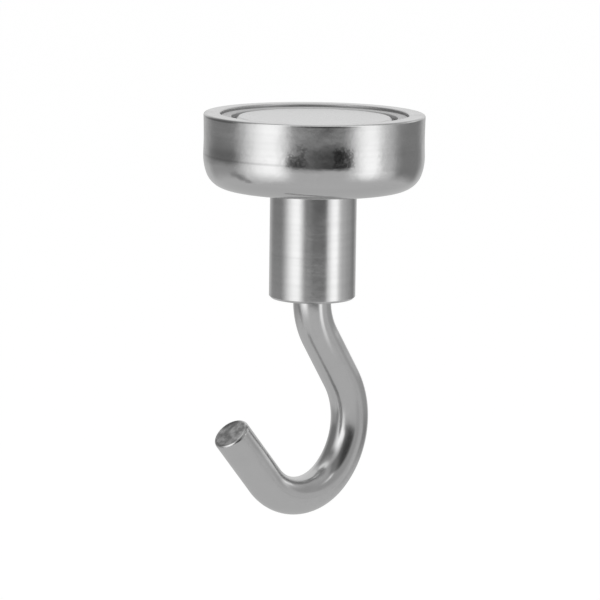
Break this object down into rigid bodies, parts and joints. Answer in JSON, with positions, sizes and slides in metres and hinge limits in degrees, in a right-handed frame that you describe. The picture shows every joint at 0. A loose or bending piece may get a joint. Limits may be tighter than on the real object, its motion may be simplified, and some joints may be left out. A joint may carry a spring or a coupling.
{
  "type": "magnetic hook",
  "caption": "Round pot magnet with a cylindrical threaded boss and a bent wire hook screwed into it, for hanging things from steel overhead.",
  "frame": {"origin": "centre of the pot's rim face, where the hook sticks to the steel above it", "axes": "+Z along the pot's axis into the steel, away from the hook; the hook bends in the XZ plane with its mouth towards -X; +Y completes the right-handed frame"},
  "size_m": [0.0205, 0.02, 0.0368],
  "materials": {
    "nickel_plated_steel": "turned steel, bright nickel plated",
    "nickel_plated_bush": "turned steel bush, bright nickel plated",
    "plated_magnet": "sintered magnet, satin nickel plated",
    "spacer_plastic": "moulded nylon, light grey",
    "adhesive": "cured epoxy, dark grey",
    "nickel_plated_wire": "drawn steel wire, bent, bright nickel plated"
  },
  "bodies": {
    "holder": {"pot": "nickel_plated_steel", "threaded_boss": "nickel_plated_bush", "magnet": "plated_magnet", "spacer_ring": "spacer_plastic", "magnet_adhesive": "adhesive"},
    "hook": {"hook": "nickel_plated_wire"}
  },
  "joints": [
    {"name": "hook_turn", "type": "hinge", "parent": "holder", "child": "hook", "pos_m": [0, 0, -0.0126], "axis": [0, 0, -1], "range_deg": [0, 3330]}
  ]
}
